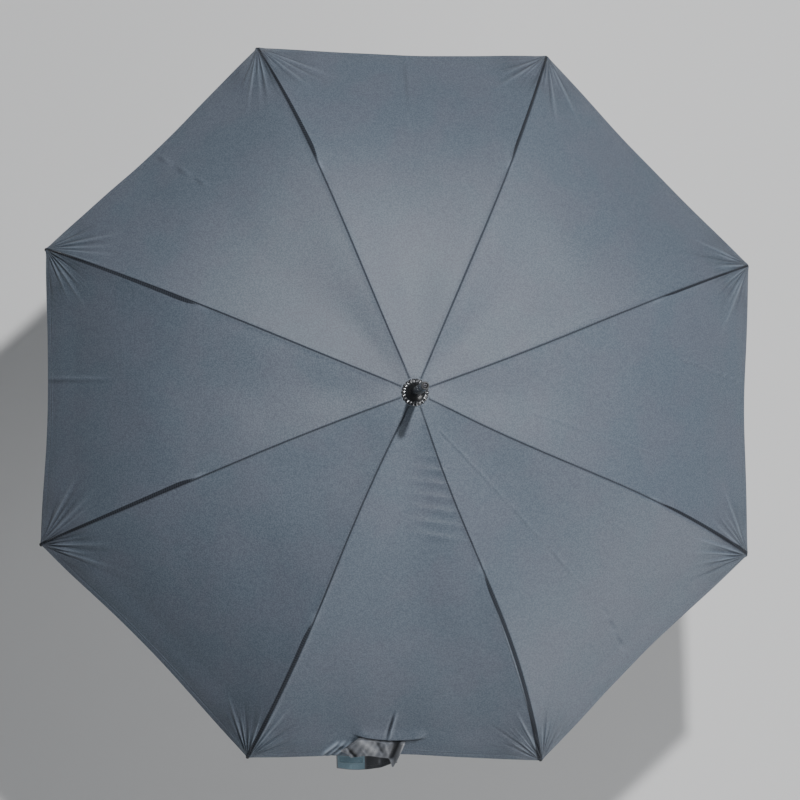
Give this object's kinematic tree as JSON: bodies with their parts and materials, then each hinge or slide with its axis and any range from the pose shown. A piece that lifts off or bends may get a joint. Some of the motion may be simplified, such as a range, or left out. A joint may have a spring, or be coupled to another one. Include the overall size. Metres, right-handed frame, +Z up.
{
  "type": "umbrella reflector",
  "caption": "Folding photographic umbrella reflector: dark fabric dome with a reflective inside, bowed ribs, forked stretchers and a runner that slides on a slim tube shaft.",
  "frame": {"origin": "centre of the flat bottom face of the shaft's end cap", "axes": "+Z runs up the shaft to the ferrule, the dome faces up; the ribs stand at 22.5 degrees and every 45 degrees from +X; the tie strap is at the hem facing -Y"},
  "size_m": [0.9264, 0.9396, 0.773],
  "materials": {
    "cloth": "woven, dark slate outside and silver inside",
    "strap": "folded tape",
    "patch": "hook and loop",
    "shaft_steel": "satin",
    "rib_steel": "black",
    "rod": "pultruded fibreglass",
    "wire": "bright",
    "rosette": "pressed",
    "black_plastic": "moulded",
    "rubber": "moulded"
  },
  "bodies": {
    "shaft_assembly": {"shaft": "shaft_steel", "end_cap": "rubber", "crown": "black_plastic", "crown_wire": "wire", "crown_pin": "wire", "stop_pin": "wire", "inner_rosette": "cloth", "rosette_washer": "rosette", "ferrule": "black_plastic", "ferrule_tip": "wire"},
    "rib_arm_1": {"rib_1": "rib_steel"},
    "rod_arm_1": {"rod_1": "rod", "rib_tip_1": "black_plastic", "canopy_1": "cloth"},
    "stretcher_arm_1": {"stretcher_1": "rib_steel"},
    "rib_arm_2": {"rib_2": "rib_steel"},
    "rod_arm_2": {"rod_2": "rod", "rib_tip_2": "black_plastic", "canopy_2": "cloth"},
    "stretcher_arm_2": {"stretcher_2": "rib_steel"},
    "rib_arm_3": {"rib_3": "rib_steel"},
    "rod_arm_3": {"rod_3": "rod", "rib_tip_3": "black_plastic", "canopy_3": "cloth"},
    "stretcher_arm_3": {"stretcher_3": "rib_steel"},
    "rib_arm_4": {"rib_4": "rib_steel"},
    "rod_arm_4": {"rod_4": "rod", "rib_tip_4": "black_plastic", "canopy_4": "cloth"},
    "stretcher_arm_4": {"stretcher_4": "rib_steel"},
    "rib_arm_5": {"rib_5": "rib_steel"},
    "rod_arm_5": {"rod_5": "rod", "rib_tip_5": "black_plastic", "canopy_5": "cloth"},
    "stretcher_arm_5": {"stretcher_5": "rib_steel"},
    "rib_arm_6": {"rib_6": "rib_steel"},
    "rod_arm_6": {"rod_6": "rod", "rib_tip_6": "black_plastic", "canopy_6": "cloth", "tie_strap": "strap", "strap_patch": "patch"},
    "stretcher_arm_6": {"stretcher_6": "rib_steel"},
    "rib_arm_7": {"rib_7": "rib_steel"},
    "rod_arm_7": {"rod_7": "rod", "rib_tip_7": "black_plastic", "canopy_7": "cloth"},
    "stretcher_arm_7": {"stretcher_7": "rib_steel"},
    "rib_arm_8": {"rib_8": "rib_steel"},
    "rod_arm_8": {"rod_8": "rod", "rib_tip_8": "black_plastic", "canopy_8": "cloth"},
    "stretcher_arm_8": {"stretcher_8": "rib_steel"},
    "runner_slide": {"runner": "black_plastic", "runner_wire": "wire"},
    "open_catch": {"open_catch": "wire"},
    "closed_catch": {"closed_catch": "wire"}
  },
  "joints": [
    {"name": "fold", "type": "hinge", "parent": "shaft_assembly", "child": "rib_arm_1", "pos_m": [0.01109, 0.00459, 0.66], "axis": [-0.3827, 0.9239, 0], "range_deg": [0, 79.7]},
    {"name": "rod_flex_1", "type": "hinge", "parent": "rib_arm_1", "child": "rod_arm_1", "pos_m": [0.20175, 0.08357, 0.62991], "axis": [0.3827, -0.9239, 0], "range_deg": [0, 17.93], "deforming": ["canopy_1"]},
    {"name": "stretcher_pivot_1", "type": "hinge", "parent": "rib_arm_1", "child": "stretcher_arm_1", "pos_m": [0.20175, 0.08357, 0.62991], "axis": [0.3827, -0.9239, 0], "range_deg": [0, 159.41]},
    {"name": "fold_2", "type": "hinge", "parent": "shaft_assembly", "child": "rib_arm_2", "pos_m": [0.00459, 0.01109, 0.66], "axis": [-0.9239, 0.3827, 0], "range_deg": [0, 79.7]},
    {"name": "rod_flex_2", "type": "hinge", "parent": "rib_arm_2", "child": "rod_arm_2", "pos_m": [0.08357, 0.20175, 0.62991], "axis": [0.9239, -0.3827, 0], "range_deg": [0, 17.93], "deforming": ["canopy_2"]},
    {"name": "stretcher_pivot_2", "type": "hinge", "parent": "rib_arm_2", "child": "stretcher_arm_2", "pos_m": [0.08357, 0.20175, 0.62991], "axis": [0.9239, -0.3827, 0], "range_deg": [0, 159.41]},
    {"name": "fold_3", "type": "hinge", "parent": "shaft_assembly", "child": "rib_arm_3", "pos_m": [-0.00459, 0.01109, 0.66], "axis": [-0.9239, -0.3827, 0], "range_deg": [0, 79.7]},
    {"name": "rod_flex_3", "type": "hinge", "parent": "rib_arm_3", "child": "rod_arm_3", "pos_m": [-0.08357, 0.20175, 0.62991], "axis": [0.9239, 0.3827, 0], "range_deg": [0, 17.93], "deforming": ["canopy_3"]},
    {"name": "stretcher_pivot_3", "type": "hinge", "parent": "rib_arm_3", "child": "stretcher_arm_3", "pos_m": [-0.08357, 0.20175, 0.62991], "axis": [0.9239, 0.3827, 0], "range_deg": [0, 159.41]},
    {"name": "fold_4", "type": "hinge", "parent": "shaft_assembly", "child": "rib_arm_4", "pos_m": [-0.01109, 0.00459, 0.66], "axis": [-0.3827, -0.9239, 0], "range_deg": [0, 79.7]},
    {"name": "rod_flex_4", "type": "hinge", "parent": "rib_arm_4", "child": "rod_arm_4", "pos_m": [-0.20175, 0.08357, 0.62991], "axis": [0.3827, 0.9239, 0], "range_deg": [0, 17.93], "deforming": ["canopy_4"]},
    {"name": "stretcher_pivot_4", "type": "hinge", "parent": "rib_arm_4", "child": "stretcher_arm_4", "pos_m": [-0.20175, 0.08357, 0.62991], "axis": [0.3827, 0.9239, 0], "range_deg": [0, 159.41]},
    {"name": "fold_5", "type": "hinge", "parent": "shaft_assembly", "child": "rib_arm_5", "pos_m": [-0.01109, -0.00459, 0.66], "axis": [0.3827, -0.9239, 0], "range_deg": [0, 79.7]},
    {"name": "rod_flex_5", "type": "hinge", "parent": "rib_arm_5", "child": "rod_arm_5", "pos_m": [-0.20175, -0.08357, 0.62991], "axis": [-0.3827, 0.9239, 0], "range_deg": [0, 17.93], "deforming": ["canopy_5"]},
    {"name": "stretcher_pivot_5", "type": "hinge", "parent": "rib_arm_5", "child": "stretcher_arm_5", "pos_m": [-0.20175, -0.08357, 0.62991], "axis": [-0.3827, 0.9239, 0], "range_deg": [0, 159.41]},
    {"name": "fold_6", "type": "hinge", "parent": "shaft_assembly", "child": "rib_arm_6", "pos_m": [-0.00459, -0.01109, 0.66], "axis": [0.9239, -0.3827, 0], "range_deg": [0, 79.7]},
    {"name": "rod_flex_6", "type": "hinge", "parent": "rib_arm_6", "child": "rod_arm_6", "pos_m": [-0.08357, -0.20175, 0.62991], "axis": [-0.9239, 0.3827, 0], "range_deg": [0, 17.93], "deforming": ["canopy_6", "tie_strap", "strap_patch"]},
    {"name": "stretcher_pivot_6", "type": "hinge", "parent": "rib_arm_6", "child": "stretcher_arm_6", "pos_m": [-0.08357, -0.20175, 0.62991], "axis": [-0.9239, 0.3827, 0], "range_deg": [0, 159.41]},
    {"name": "fold_7", "type": "hinge", "parent": "shaft_assembly", "child": "rib_arm_7", "pos_m": [0.00459, -0.01109, 0.66], "axis": [0.9239, 0.3827, 0], "range_deg": [0, 79.7]},
    {"name": "rod_flex_7", "type": "hinge", "parent": "rib_arm_7", "child": "rod_arm_7", "pos_m": [0.08357, -0.20175, 0.62991], "axis": [-0.9239, -0.3827, 0], "range_deg": [0, 17.93], "deforming": ["canopy_7"]},
    {"name": "stretcher_pivot_7", "type": "hinge", "parent": "rib_arm_7", "child": "stretcher_arm_7", "pos_m": [0.08357, -0.20175, 0.62991], "axis": [-0.9239, -0.3827, 0], "range_deg": [0, 159.41]},
    {"name": "fold_8", "type": "hinge", "parent": "shaft_assembly", "child": "rib_arm_8", "pos_m": [0.01109, -0.00459, 0.66], "axis": [0.3827, 0.9239, 0], "range_deg": [0, 79.7]},
    {"name": "rod_flex_8", "type": "hinge", "parent": "rib_arm_8", "child": "rod_arm_8", "pos_m": [0.20175, -0.08357, 0.62991], "axis": [-0.3827, -0.9239, 0], "range_deg": [0, 17.93], "deforming": ["canopy_8"]},
    {"name": "stretcher_pivot_8", "type": "hinge", "parent": "rib_arm_8", "child": "stretcher_arm_8", "pos_m": [0.20175, -0.08357, 0.62991], "axis": [-0.3827, -0.9239, 0], "range_deg": [0, 159.41]},
    {"name": "runner_hinge", "type": "hinge", "parent": "stretcher_arm_1", "child": "runner_slide", "pos_m": [0.01109, 0.00459, 0.59982], "axis": [-0.3827, 0.9239, 0], "range_deg": [0, 79.7]},
    {"name": "open_catch_press", "type": "slide", "parent": "shaft_assembly", "child": "open_catch", "axis": [-1, 0, 0], "range_m": [0, 0.0024], "stiffness_N_per_m": 300, "springref_m": -0.001},
    {"name": "closed_catch_press", "type": "slide", "parent": "shaft_assembly", "child": "closed_catch", "axis": [-1, 0, 0], "range_m": [0, 0.0024], "stiffness_N_per_m": 300, "springref_m": -0.001}
  ],
  "couplings": [
    {"joint": "rod_flex_1", "follows": "fold", "ratio": 0.225},
    {"joint": "stretcher_pivot_1", "follows": "fold", "ratio": 2},
    {"joint": "fold_2", "follows": "fold", "ratio": 1},
    {"joint": "rod_flex_2", "follows": "fold", "ratio": 0.225},
    {"joint": "stretcher_pivot_2", "follows": "fold", "ratio": 2},
    {"joint": "fold_3", "follows": "fold", "ratio": 1},
    {"joint": "rod_flex_3", "follows": "fold", "ratio": 0.225},
    {"joint": "stretcher_pivot_3", "follows": "fold", "ratio": 2},
    {"joint": "fold_4", "follows": "fold", "ratio": 1},
    {"joint": "rod_flex_4", "follows": "fold", "ratio": 0.225},
    {"joint": "stretcher_pivot_4", "follows": "fold", "ratio": 2},
    {"joint": "fold_5", "follows": "fold", "ratio": 1},
    {"joint": "rod_flex_5", "follows": "fold", "ratio": 0.225},
    {"joint": "stretcher_pivot_5", "follows": "fold", "ratio": 2},
    {"joint": "fold_6", "follows": "fold", "ratio": 1},
    {"joint": "rod_flex_6", "follows": "fold", "ratio": 0.225},
    {"joint": "stretcher_pivot_6", "follows": "fold", "ratio": 2},
    {"joint": "fold_7", "follows": "fold", "ratio": 1},
    {"joint": "rod_flex_7", "follows": "fold", "ratio": 0.225},
    {"joint": "stretcher_pivot_7", "follows": "fold", "ratio": 2},
    {"joint": "fold_8", "follows": "fold", "ratio": 1},
    {"joint": "rod_flex_8", "follows": "fold", "ratio": 0.225},
    {"joint": "stretcher_pivot_8", "follows": "fold", "ratio": 2},
    {"joint": "runner_hinge", "follows": "fold", "ratio": 1}
  ]
}
